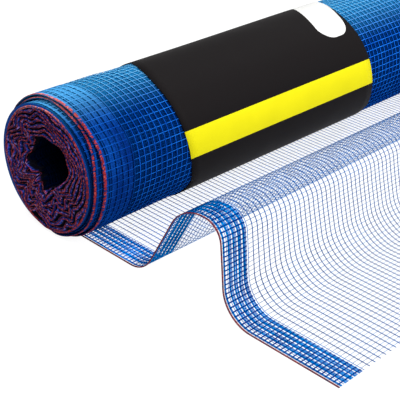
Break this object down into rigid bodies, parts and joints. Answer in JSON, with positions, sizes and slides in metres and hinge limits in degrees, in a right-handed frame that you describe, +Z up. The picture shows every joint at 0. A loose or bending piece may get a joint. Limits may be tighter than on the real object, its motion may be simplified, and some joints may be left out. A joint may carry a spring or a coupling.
{
  "type": "roll of construction safety netting",
  "caption": "Coreless roll of blue open-mesh debris netting with red-edged selvedges, its loose end pulled out in a wave, and a plain wrap label.",
  "frame": {"origin": "on the floor, under the middle of the whole object's box", "axes": "+X along the roll, away from the end with the label; +Y to the back, so the loose end lies towards -Y; +Z up"},
  "size_m": [2.64, 0.3802, 0.1281],
  "materials": {
    "netting": "open mesh of blue plastic yarn, slightly glossy, with red marker threads along both selvedges",
    "label": "coated paper printed black, with a yellow stripe and a white patch"
  },
  "bodies": {
    "root": {"netting_roll": "netting", "loose_end": "netting", "label_band": "label"}
  },
  "joints": []
}
